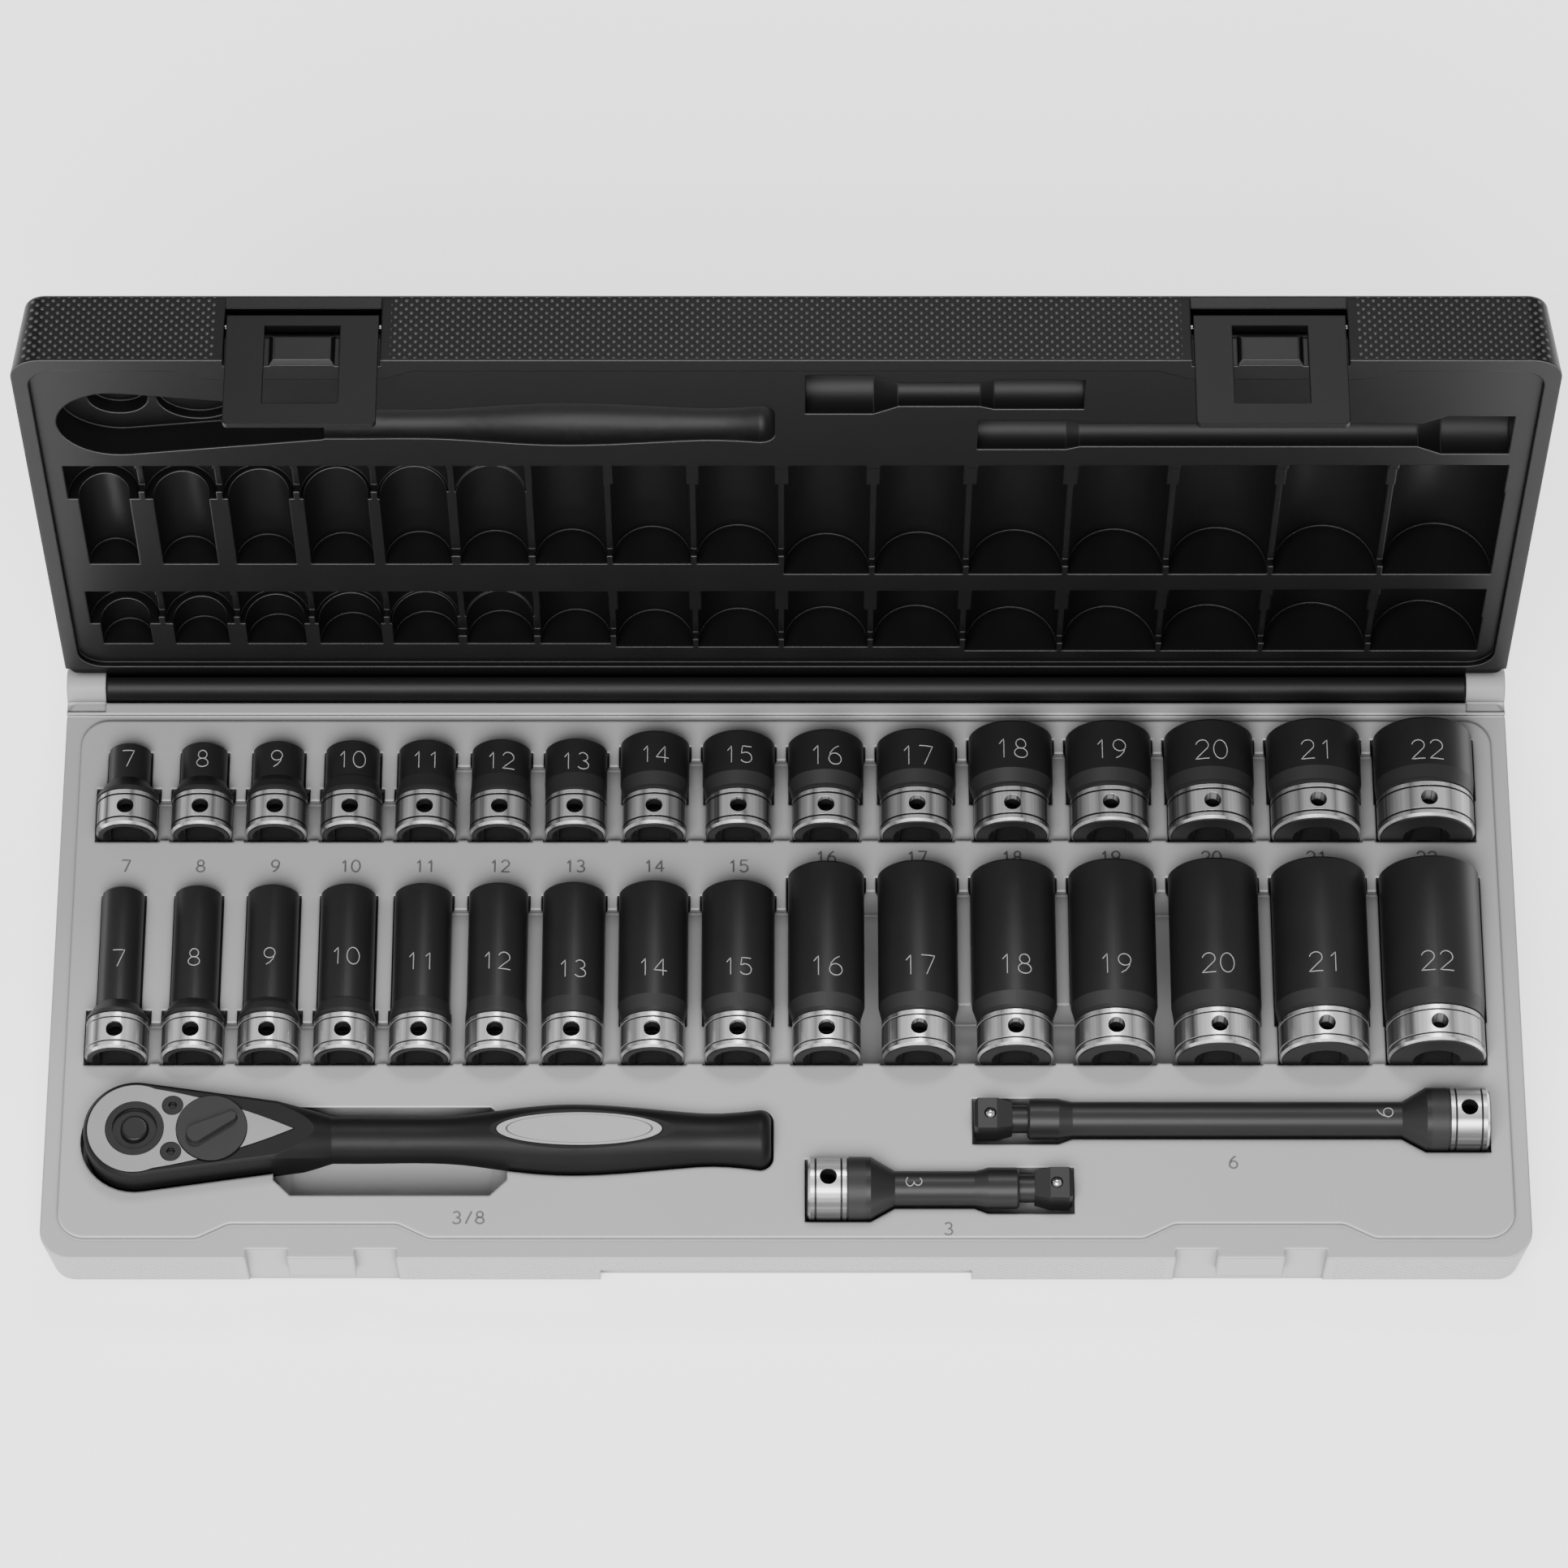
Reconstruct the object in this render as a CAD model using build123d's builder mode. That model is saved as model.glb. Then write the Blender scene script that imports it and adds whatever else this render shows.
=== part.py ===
from build123d import *
import math
import os
from collections import namedtuple

# ---------------------------------------------------------------------------------------------
# Socket wrench set in a moulded case: 16 standard and 16 deep sockets, a ratchet and two
# extensions lie in the base tray, and the lid stands open behind it.
# Frame: +X to the right, +Y towards the hinge, +Z up, origin at the centre of the underside.
# All sizes are in millimetres and degrees.
# ---------------------------------------------------------------------------------------------

# Case: the rows and bands of tools set its width and depth
side_margin = 10.9
front_band = 61.0
row_strip = 13.0
back_band = 17.0
base_height = 22.0
lid_height = 24.0
rim_gap = 0.3
corner_r = 9.0
outer_edge_r = 2.5
base_draft = 6.0
lid_draft = 7.5
lid_angle = 91.0

# Raised tray panel, which enters a recess in the lid when the case is closed
panel_rise = 1.2
panel_side_margin = 5.0
panel_front_margin = 6.2
panel_back_margin = 9.3
panel_corner_r = 8.0
panel_bend_r = 5.0
panel_step = 4.5
panel_bends = (-36.0, -27.0, 22.0, 31.0)
panel_gap = 0.4
back_strip_depth = 7.0
back_strip_rise = 0.8

# Hinge
hinge_behind = 3.0
barrel_r = 5.5
barrel_half = 204.0
knuckle_gap = 0.3
hinge_clear = 0.6
pin_r = 1.5
pin_running_gap = 0.05
pin_length = 22.0
pin_skin = 1.5
stop_reach = 7.0
stop_below_axis = 10.15
barrel_web_reach = 2.0
barrel_web_lift = 0.6
stop_gap = 0.3

# Latches
latch_x = 134.5
latch_width = 42.4
latch_side_gap = 0.65
latch_thick = 2.0
latch_front_inset = 0.8
latch_above_rim = 14.2
latch_floor_gap = 1.35
latch_corner_r = 1.5
latch_lip = 1.0
latch_pin_overhang = 4.0
latch_depth = 4.8
latch_barrel_r = 1.9
latch_pin_r = 0.9
latch_swing = 2.0
latch_back_gap = 0.3
latch_pocket_gap = 0.4
window_width = 21.0
window_above_rim = 11.8
window_sill = 7.0
catch_side_gap = 0.8
catch_gap = 0.6
catch_inset = 0.3
boss_side_gap = 1.5
boss_below_window = 2.0
boss_inset = 0.5
boss_chamfer = 1.2
grip_half = 54.0
grip_height = 11.0
grip_depth = 5.0

# Square drive, common to every tool (3/8 inch)
drive_size = 9.525
drive_play = 0.125
drive_depth = 11.5
drive_length = 11.0
cross_hole_r = 2.5
cross_hole_place = 6.2
face_chamfer = 1.0
ring_width = 1.2
groove_width = 0.6
groove_depth = 0.35
band_width = 6.9
collar_width = 1.0
shoulder_length = 4.0
nose_chamfer = 0.6
passage_less = 0.8
passage_most = 9.0
hex_gap = 0.15
mouth_r = 7.0
mouth_depth = 1.6
hex_stop = 2.0
deep_hex_depth = 24.0

# Detent balls
ball_r = 1.7
ball_out = 0.8
ball_gap = 0.04
ball_well = 1.2

# Sockets: across-flats size, nose diameter, drive diameter, width taken in the row
sockets = [
    (7, 12.4, 18.2, 18.2),
    (8, 13.8, 18.2, 18.2),
    (9, 15.2, 18.2, 18.2),
    (10, 16.2, 18.2, 18.2),
    (11, 17.0, 18.2, 18.2),
    (12, 17.6, 18.2, 18.2),
    (13, 18.5, 18.2, 18.5),
    (14, 20.5, 18.9, 20.5),
    (15, 21.5, 19.6, 21.5),
    (16, 22.5, 20.1, 22.5),
    (17, 23.5, 21.7, 23.5),
    (18, 25.0, 22.4, 25.0),
    (19, 25.5, 23.4, 25.5),
    (20, 26.5, 25.3, 26.5),
    (21, 28.0, 26.5, 28.0),
    (22, 29.5, 28.8, 29.5),
]
row_gap = 4.0
standard_length = {"small": 28.6, "middle": 30.7, "large": 33.0}
first_middle = 14
first_large = 18
deep_length = {"small": 54.0, "large": 60.0}
first_deep_large = 16

# Seats in the tray and the lid
seat_gap = 0.8
end_gap = 0.6
head_gap = 0.6
lid_seat_gap = 1.2
swing_gap = 0.4
axis_above_panel = 2.0
web_drop = 2.5
web_back = 4.0
relief_front = 1.0
relief_length = 20.0
relief_drop = 16.0
relief_from = (16, 17)
relief_to = (19, 20)
window_deep = 2.2
window_wide = 8.0
window_long = 11.0
window_front = 2.0
window_skin = 0.8
deep_window_sizes = (7, 9, 11, 13, 15, 17, 19, 22)
standard_window_sizes = (7, 10, 12, 14, 16, 18, 20)
full_web_sizes = (7, 8, 9, 10)
hub_room_roof = 9.4

# Ratchet
ratchet_from_side = 27.0
ratchet_from_front = 37.0
head_r = 15.0
head_sunk = 7.2
head_height = 15.6
head_fillet = 2.5
head_chamfer = 0.9
neck_reach = 58.0
neck_half = 6.6
neck_taper_start = 30.0
neck_taper_r = 15.3
plate_r = 13.7
plate_tip = 46.0
plate_bulge = 1.4
plate_lean = 0.12
plate_thick = 1.6
plate_seat = 1.4
plate_gap = 0.1
hub_r = 8.5
gear_r = 9.4
tooth_depth = 0.7
gear_teeth = 36
gear_above = 4.0
gear_height = 7.5
gear_gap = 0.2
journal_least_r = 6.9
journal_round_drive = 0.1
running_gap = 0.05
dish_r = 6.5
dish_depth = 1.2
button_r = 4.0
button_rise = 0.3
button_height = 2.4
button_edge_r = 0.8
button_stroke = 1.5
button_room = 0.3
plunger_r = 2.0
plunger_tip_r = 1.1
plunger_length = 16.0
plunger_floor = 1.5
plunger_gap = 0.5
selector_reach = 22.4
selector_r = 10.2
selector_gap = 0.2
selector_rise = 0.4
selector_floor = 0.6
selector_shaft_r = 3.5
selector_shaft = 10.8
selector_shaft_gap = 0.3
lever_angle = 28.0
lever_front = 6.5
lever_back = 5.0
lever_big_r = 2.9
lever_small_r = 1.7
lever_height = 2.0
lever_draft = 8.0
screw_along = 10.8
screw_across = 7.3
screw_head_r = 3.0
screw_shank_r = 1.4
screw_length = 5.0
screw_key = 2.2
screw_key_depth = 1.2
pawl_overlap = 0.5
pawl_back = 17.0
pawl_half = 4.8
pawl_pivot = 13.8
pawl_face_gap = 0.7
pawl_gap = 0.5
pawl_back_room = 0.9
pawl_tilt = 3.0
pawl_pin_r = 1.5
pawl_pin_length = 1.5
handle_end = 184.6
handle_corner_r = 3.2
handle_stations = [(50.0, 6.6), (74.0, 6.8), (94.0, 7.2), (108.0, 9.0), (124.0, 10.4),
                   (140.0, 9.9), (156.0, 8.4), (168.0, 7.6), (176.0, 8.1)]
handle_end_r = 8.8
flat_height = 8.3
flat_span = (96.0, 162.0)
inlay_centre = 129.0
inlay_half = 24.0
inlay_half_width = 5.1
inlay_sink = 0.5
inlay_rise = 0.3
neck_relief = (40.0, 108.0)
neck_relief_r = 14.0
neck_relief_end = 5.0
neck_relief_forward = 3.5
drive_well_r = 9.0
drive_well_gap = 1.2

# Extensions: the end that takes the driver, its place, its length and which way it points
long_from_side = 11.4
long_from_front = 43.0
long_length = 149.8
short_from_handle = 10.4
short_from_front = 21.0
short_length = 77.0
extension_above = 1.5
extension_r = 9.2
shaft_r = 5.1
collar_end = 18.5
cone_end = 25.5
male_collar_r = 5.9
male_collar_length = 9.0
male_cone = 4.0
male_edge = 0.6
male_seat_share = 0.7
male_neck_r = 4.1
male_neck_length = 4.5
male_waist = 7.6
male_taper_length = 4.5
male_chamfer = 1.0
male_ball_place = 4.6

# ---------------------------------------------------------------------------------------------
# Worked-out places
# ---------------------------------------------------------------------------------------------
overcut = 1.0
row_width = sum(row[3] for row in sockets) + row_gap * (len(sockets) - 1)
case_width = row_width + 2 * side_margin
case_depth = front_band + deep_length["large"] + row_strip + standard_length["large"] + back_band
panel_top = base_height + panel_rise
lid_rim = base_height + rim_gap
lid_inner = lid_rim + panel_rise + panel_gap
lid_top = lid_rim + lid_height
drive_hole = drive_size + drive_play
catch_width = window_width - 2 * catch_side_gap
boss_width = window_width - 2 * boss_side_gap
gear_root_r = gear_r - tooth_depth
journal_r = max(journal_least_r, drive_size / math.sqrt(2) + journal_round_drive)
case_front = -case_depth / 2
case_back = case_depth / 2
hinge_y = case_back + hinge_behind
hinge_z = base_height + rim_gap / 2
hinge_axis = Axis((0, hinge_y, hinge_z), (1, 0, 0))
socket_z = panel_top + axis_above_panel
extension_z = panel_top + extension_above
standard_front = case_back - back_band - standard_length["large"]
deep_front = case_front + front_band
head_bottom = panel_top - head_sunk
head_top = head_bottom + head_height
plate_floor = head_top - plate_seat
plate_top = plate_floor + plate_thick
gear_bottom = head_bottom + gear_above
gear_top = gear_bottom + gear_height
button_top = plate_top + button_rise
button_foot = button_top - button_height
selector_top = plate_top + selector_rise
ratchet_x = ratchet_from_side - case_width / 2
ratchet_y = case_front + ratchet_from_front
handle_z = (head_bottom + plate_floor) / 2
long_start = case_width / 2 - long_from_side
long_y = case_front + long_from_front
short_start = ratchet_x + handle_end + short_from_handle
short_y = case_front + short_from_front
groove_3 = face_chamfer + 2 * ring_width + 2 * groove_width + band_width
section_end = groove_3 + groove_width
shoulder_start = section_end + collar_width
shoulder_end = shoulder_start + shoulder_length

Tool = namedtuple("Tool", "name size nose drive length x y")


def lengths(size):
    """Overall lengths of the standard and the deep socket of one size."""
    step = "small" if size < first_middle else "middle" if size < first_large else "large"
    return standard_length[step], deep_length["small" if size < first_deep_large else "large"]


def socket_rows():
    """Both rows of sockets, side by side from the left with one gap between neighbours."""
    edge = -row_width / 2
    standard, deep = [], []
    for size, nose, drive, width in sockets:
        x = edge + width / 2
        short, long = lengths(size)
        standard.append(Tool(f"socket_{size:02d}", size, nose / 2, drive / 2, short, x,
                             standard_front + end_gap))
        deep.append(Tool(f"deep_socket_{size:02d}", size, nose / 2, drive / 2, long, x,
                         deep_front + end_gap))
        edge += width + row_gap
    return standard, deep


standard_row, deep_row = socket_rows()

# ---------------------------------------------------------------------------------------------
# Shared shapes
# ---------------------------------------------------------------------------------------------


def axial_plane(start, direction):
    """Plane with local x along a tool's axis and local y straight up from it."""
    return Plane(origin=start, x_dir=direction, z_dir=Vector(*direction).cross(Vector(0, 0, 1)))


def turned(points, start, direction):
    """Solid turned about a tool's axis from (distance along, radius) points."""
    with BuildPart() as piece:
        with BuildSketch(axial_plane(start, direction)):
            with BuildLine():
                Polyline(*points, close=True)
            make_face()
        revolve(axis=Axis(start, direction))
    return piece.part


def block(x0, x1, y0, y1, z0, z1):
    """Plain block between two corners."""
    with BuildPart() as piece:
        with BuildSketch(Plane.XY.offset(z0)):
            with Locations(((x0 + x1) / 2, (y0 + y1) / 2)):
                Rectangle(abs(x1 - x0), abs(y1 - y0))
        extrude(amount=z1 - z0)
    return piece.part


def rod(x0, x1, y, z, radius):
    """Round rod along X, between two ends given in either order."""
    low, high = min(x0, x1), max(x0, x1)
    return turned([(0, 0), (0, radius), (high - low, radius), (high - low, 0)], (low, y, z), (1, 0, 0))


def drive_section(radius):
    """Profile of a driven end: chamfered face, two thin rings and a band between grooves."""
    points = [(0, 0), (0, radius - face_chamfer), (face_chamfer, radius)]
    place = face_chamfer
    for width in (ring_width, band_width, ring_width):
        place += width
        points += [(place, radius), (place, radius - groove_depth)]
        place += groove_width
        points += [(place, radius - groove_depth), (place, radius)]
    return points


def socket_profile(tool):
    """Outer profile of a socket, from its driven face to its nose."""
    return drive_section(tool.drive) + [
        (shoulder_start, tool.drive),
        (shoulder_end, tool.nose),
        (tool.length - nose_chamfer, tool.nose),
        (tool.length, tool.nose - nose_chamfer),
        (tool.length, 0),
    ]


def swing_room(tool):
    """How far the edge of the lid's seat passes over the driven end as the lid swings."""
    rise = socket_z + tool.drive - panel_top
    return rise ** 2 / (2 * (hinge_y - tool.y)) + swing_gap


def socket_seat(tool, gap, front):
    """Room that a socket takes in the tray or the lid."""
    wide, narrow = tool.drive + gap, tool.nose + gap
    step = shoulder_start if tool.nose > tool.drive else shoulder_end
    points = [(-front, 0), (-front, wide), (step, wide), (step, narrow),
              (tool.length + end_gap, narrow), (tool.length + end_gap, 0)]
    return turned(points, (tool.x, tool.y, socket_z), (0, 1, 0))


def teardrop(radius, reach, half, grow=0.0):
    """Tangent points of a circle that narrows to a straight end."""
    r, w = radius + grow, half + grow
    lean = math.atan2(w, reach) + math.acos(r / math.hypot(reach, w))
    return r, [(r * math.cos(lean), r * math.sin(lean)), (reach, w), (reach, -w),
               (r * math.cos(lean), -r * math.sin(lean))]


def head_block(grow, low, high):
    """Ratchet head and neck between two heights."""
    r, corners = teardrop(head_r, neck_reach, neck_half, grow)
    with BuildPart() as piece:
        with BuildSketch(Plane.XY.offset(low).move(Location((ratchet_x, ratchet_y, 0)))):
            Circle(r)
            Polygon(*corners, align=None)
        extrude(amount=high - low)
    return piece.part


def post(along, across, radius, low, high):
    """Upright cylinder placed from the ratchet's head centre."""
    centre = Location((ratchet_x + along, ratchet_y + across, 0))
    with BuildPart() as piece:
        with BuildSketch(Plane.XY.offset(low).move(centre)):
            Circle(radius)
        extrude(amount=high - low)
    return piece.part


def handle_solid(grow):
    """Round handle with a rounded end, turned about its axis through the stations."""
    start = (ratchet_x, ratchet_y, handle_z)
    first, last = handle_stations[0][0], handle_end + grow
    turn_in, radius = handle_end - handle_corner_r, handle_end_r - handle_corner_r
    halfway = (handle_corner_r + grow) / math.sqrt(2)
    stations = [(s, r + grow) for s, r in handle_stations] + [(turn_in, handle_end_r + grow)]
    with BuildPart() as piece:
        with BuildSketch(axial_plane(start, (1, 0, 0))):
            with BuildLine():
                Spline(*stations)
                ThreePointArc(stations[-1], (turn_in + halfway, radius + halfway), (last, radius))
                Line((last, radius), (last, 0))
                Line((last, 0), (first, 0))
                Line((first, 0), stations[0])
            make_face()
        revolve(axis=Axis(start, (1, 0, 0)))
    return piece.part


def extension_seat(start, y, length, direction, gap):
    """Room that an extension takes in the tray or the lid."""
    male = length - drive_length - male_neck_length - male_collar_length
    wide, slim, end = extension_r + gap, shaft_r + gap, drive_size * male_seat_share + gap
    points = [(-end_gap, 0), (-end_gap, wide), (collar_end, wide), (cone_end, slim),
              (male - male_cone, slim), (male, end), (length + end_gap, end), (length + end_gap, 0)]
    return turned(points, (start, y, extension_z), direction)


def tool_seats(gap, in_lid):
    """Every seat's round part, for the tray with a small gap or for the lid with a larger one."""
    seats = [socket_seat(tool, gap, end_gap + swing_room(tool) if in_lid else end_gap)
             for tool in standard_row + deep_row]
    seats.append(extension_seat(long_start, long_y, long_length, (-1, 0, 0), gap))
    seats.append(extension_seat(short_start, short_y, short_length, (1, 0, 0), gap))
    seats.append(handle_solid(gap))
    return seats


def web_cuts(top, drop):
    """Lowered webs between neighbouring sockets, down from the tray panel or up from the lid's."""
    cuts = []
    for row in (standard_row, deep_row):
        wide = [tool for tool in row if tool.size not in full_web_sizes]
        cuts.append(block(row[0].x, row[-1].x, row[0].y, row[0].y + shoulder_start, top, top + drop))
        for left, right in zip(wide, wide[1:]):
            back = min(left.length, right.length) - web_back
            cuts.append(block(left.x, right.x, left.y, left.y + back, top, top + drop))
    return cuts


def relief_cuts():
    """Finger relief under the large deep sockets and beside the ratchet's neck."""
    span = {tool.size: tool for tool in deep_row}
    first, second = span[relief_from[0]], span[relief_from[1]]
    last_but_one, last = span[relief_to[0]], span[relief_to[1]]
    y, floor = first.y, panel_top - relief_drop
    back = y + first.length - web_back
    start, end = neck_relief
    scoop = [(start, 0), (start, neck_relief_r - neck_relief_end),
             (start + neck_relief_end, neck_relief_r), (end - neck_relief_end, neck_relief_r),
             (end, neck_relief_r - neck_relief_end), (end, 0)]
    return [
        block(first.x, last.x, y + relief_front, y + relief_length, floor, panel_top),
        block(first.x, second.x, y + relief_front, back, floor, panel_top),
        block(last_but_one.x, last.x, y + relief_front, back, floor, panel_top),
        turned(scoop, (ratchet_x, ratchet_y - neck_relief_forward, panel_top), (1, 0, 0)),
    ]


def panel_face_points(grow):
    """Corners of the raised panel, drawn in behind each latch, going round from the back left."""
    side = case_width / 2 - panel_side_margin + grow
    front = case_front + panel_front_margin - grow
    back = case_back - panel_back_margin + grow
    outer, outer_step, inner_step, inner = panel_bends
    step = front + panel_step
    left = [(-side, back), (-side, front), (outer - latch_x, front), (outer_step - latch_x, step),
            (inner_step - latch_x, step), (inner - latch_x, front)]
    return left + [(-x, y) for x, y in reversed(left)]


def panel_solid(grow, low, high):
    """Raised panel, or the room for it in the lid."""
    side = case_width / 2 - panel_side_margin
    with BuildPart() as piece:
        with BuildSketch(Plane.XY.offset(low)) as outline:
            with BuildLine():
                Polyline(*panel_face_points(grow), close=True)
            make_face()
            corners = [v for v in outline.vertices() if abs(v.X) > side - overcut]
            fillet(corners, radius=panel_corner_r)
            bends = [v for v in outline.vertices() if abs(v.X) < side - 2 * panel_corner_r]
            fillet(bends, radius=panel_bend_r)
        extrude(amount=high - low)
    return piece.part


def both_sides(make):
    """One shape for each latch."""
    return [make(side * latch_x) for side in (-1, 1)]


# ---------------------------------------------------------------------------------------------
# Case base
# ---------------------------------------------------------------------------------------------
latch_back = case_front + latch_front_inset + latch_thick + latch_back_gap
latch_half = latch_width / 2 + latch_side_gap
plate_low = latch_floor_gap
window_low = plate_low + window_sill
catch_low = window_low + catch_gap

barrel_room = rod(-barrel_half - knuckle_gap, barrel_half + knuckle_gap, hinge_y, hinge_z,
                  barrel_r + hinge_clear)
knuckle_x = (barrel_half + knuckle_gap, case_width / 2)
knuckles = [rod(s * knuckle_x[0], s * knuckle_x[1], hinge_y, hinge_z, barrel_r) for s in (-1, 1)]
stop_top = hinge_z + hinge_behind - stop_gap - stop_reach * math.sin(math.radians(lid_angle - 90))
stops = [block(s * knuckle_x[0], s * knuckle_x[1], case_back - hinge_behind, hinge_y + stop_reach,
               hinge_z - stop_below_axis, stop_top) for s in (-1, 1)]
stop_trims = [block(s * knuckle_x[0], s * knuckle_x[1], case_back - 2 * hinge_behind, hinge_y,
                    hinge_z, lid_top) for s in (-1, 1)]
pin_inner = case_width / 2 - pin_skin - pin_length
pin_spans = [(-pin_inner - pin_length, -pin_inner), (pin_inner, pin_inner + pin_length)]
base_pin_holes = [rod(a, b, hinge_y, hinge_z, pin_r) for a, b in pin_spans]
latch_recesses = both_sides(lambda x: block(x - latch_half, x + latch_half, case_front - overcut,
                                            latch_back, 0, lid_top))
catches = both_sides(lambda x: block(x - catch_width / 2, x + catch_width / 2,
                                     case_front + catch_inset, latch_back + overcut, catch_low,
                                     base_height))
tray_seats = tool_seats(seat_gap, False)
tray_webs = web_cuts(panel_top, -web_drop)
tray_reliefs = relief_cuts()
head_seat = head_block(seat_gap + head_gap, head_bottom - seat_gap, panel_top)
drive_well = post(0, 0, drive_well_r, head_bottom - drive_length - drive_well_gap, panel_top)
panel = panel_solid(0, base_height, panel_top)
grip = block(-grip_half, grip_half, case_front - overcut, case_front + grip_depth, 0, grip_height)
strip = block(-case_width / 2, case_width / 2, case_back - back_strip_depth, case_back,
              base_height, base_height + back_strip_rise)

with BuildPart() as case_base:
    with BuildSketch():
        inset = base_height * math.tan(math.radians(base_draft))
        RectangleRounded(case_width - 2 * inset, case_depth - 2 * inset, corner_r - inset)
    extrude(amount=base_height, taper=-base_draft)
    fillet(case_base.faces().sort_by(Axis.Z)[0].edges(), radius=outer_edge_r)
    add(panel)
    add(strip)
    add(barrel_room, mode=Mode.SUBTRACT)
    add(stops)
    add(stop_trims, mode=Mode.SUBTRACT)
    add(knuckles)
    add(base_pin_holes, mode=Mode.SUBTRACT)
    add(latch_recesses, mode=Mode.SUBTRACT)
    add(catches)
    add(grip, mode=Mode.SUBTRACT)
    add(tray_webs, mode=Mode.SUBTRACT)
    add(tray_seats, mode=Mode.SUBTRACT)
    add(tray_reliefs, mode=Mode.SUBTRACT)
    add([head_seat, drive_well], mode=Mode.SUBTRACT)
case_base.part.label = "case_base"

# ---------------------------------------------------------------------------------------------
# Lid: made closed over the base, then stood open about the hinge
# ---------------------------------------------------------------------------------------------


def opened(shape):
    """A shape of the closed lid, carried to the open position."""
    return shape.rotate(hinge_axis, -lid_angle)


latch_hinge_z = hinge_z + latch_above_rim
latch_hinge_y = case_front + latch_front_inset + latch_depth
latch_room_r = math.hypot(latch_depth, latch_lip) + latch_pocket_gap
barrel = rod(-barrel_half, barrel_half, hinge_y, hinge_z, barrel_r)
barrel_web = block(-barrel_half, barrel_half, case_back - barrel_web_reach, hinge_y,
                   hinge_z + barrel_web_lift, hinge_z + barrel_r)
knuckle_rooms = [rod(s * barrel_half, s * (case_width / 2 + overcut), hinge_y, hinge_z,
                     barrel_r + hinge_clear) for s in (-1, 1)]
lid_pin_holes = [rod(a, b, hinge_y, hinge_z, pin_r + pin_running_gap)
                 for a, b in ((-barrel_half - overcut, overcut - pin_inner),
                              (pin_inner - overcut, barrel_half + overcut))]
latch_rooms = both_sides(lambda x: rod(x - latch_half, x + latch_half, latch_hinge_y,
                                       latch_hinge_z, latch_room_r))
latch_pin_half = latch_half + latch_pin_overhang
latch_pins_room = both_sides(lambda x: rod(x - latch_pin_half, x + latch_pin_half, latch_hinge_y,
                                           latch_hinge_z, latch_pin_r))
boss_front = case_front + latch_front_inset + boss_inset
boss_top = hinge_z + window_above_rim - boss_below_window
lid_panel_room = panel_solid(panel_gap, lid_rim, lid_inner)
lid_strip_room = block(-case_width / 2, case_width / 2, case_back - back_strip_depth - panel_gap,
                       case_back + overcut, lid_rim, lid_rim + back_strip_rise + panel_gap)
lid_seats = tool_seats(lid_seat_gap, True)
lid_webs = web_cuts(lid_inner, web_drop)
lid_head_room = head_block(lid_seat_gap + head_gap, lid_rim, head_top + lid_seat_gap)
lid_lever_room = post(selector_reach, 0, selector_r + lid_seat_gap, lid_rim,
                      selector_top + lever_height + lid_seat_gap)
lid_hub_room = post(0, 0, hub_r, lid_rim, lid_top - hub_room_roof)


def deep_windows(row, sizes):
    """Small pockets above the driven ends of some sockets, let further into the lid."""
    cuts = []
    for tool in row:
        if tool.size in sizes:
            top = min(socket_z + max(tool.drive, tool.nose) + lid_seat_gap + window_deep,
                      lid_top - window_skin)
            front = tool.y + window_front
            cuts.append(block(tool.x - window_wide / 2, tool.x + window_wide / 2, front,
                              front + window_long, socket_z, top))
    return cuts


def lid_boss(x):
    """Raised block on the lid that shows through the latch's window."""
    with BuildPart() as piece:
        add(block(x - boss_width / 2, x + boss_width / 2, boss_front, latch_back + overcut,
                  lid_rim, boss_top))
        front = piece.faces().sort_by(Axis.Y)[0]
        chamfer(front.edges(), length=boss_chamfer)
    return piece.part


windows = deep_windows(deep_row, deep_window_sizes)
windows += deep_windows(standard_row, standard_window_sizes)

with BuildPart() as lid_closed:
    with BuildSketch(Plane.XY.offset(lid_rim)):
        RectangleRounded(case_width, case_depth, corner_r)
    extrude(amount=lid_height, taper=lid_draft)
    fillet(lid_closed.faces().sort_by(Axis.Z)[-1].edges(), radius=outer_edge_r)
    add(barrel_web)
    add(knuckle_rooms, mode=Mode.SUBTRACT)
    add(barrel)
    add(lid_pin_holes, mode=Mode.SUBTRACT)
    add([lid_panel_room, lid_strip_room], mode=Mode.SUBTRACT)
    add(latch_recesses, mode=Mode.SUBTRACT)
    add(latch_rooms, mode=Mode.SUBTRACT)
    add(latch_pins_room, mode=Mode.SUBTRACT)
    add(both_sides(lid_boss))
    add(lid_webs, mode=Mode.SUBTRACT)
    add(lid_seats, mode=Mode.SUBTRACT)
    add(windows, mode=Mode.SUBTRACT)
    add([lid_head_room, lid_lever_room, lid_hub_room], mode=Mode.SUBTRACT)

with BuildPart() as case_lid:
    add(opened(lid_closed.part))
case_lid.part.label = "case_lid"

# ---------------------------------------------------------------------------------------------
# Hinge pins and latches
# ---------------------------------------------------------------------------------------------
with BuildPart() as hinge_pins:
    for low, high in pin_spans:
        add(rod(low, high, hinge_y, hinge_z, pin_r))
hinge_pins.part.label = "hinge_pins"

with BuildPart() as latch_pins:
    for side in (-1, 1):
        add(opened(rod(side * latch_x - latch_pin_half, side * latch_x + latch_pin_half,
                       latch_hinge_y, latch_hinge_z, latch_pin_r)))
latch_pins.part.label = "latch_pins"

plate_front = case_front + latch_front_inset
latch_axis = Axis((0, latch_hinge_y, latch_hinge_z), (1, 0, 0))


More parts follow.
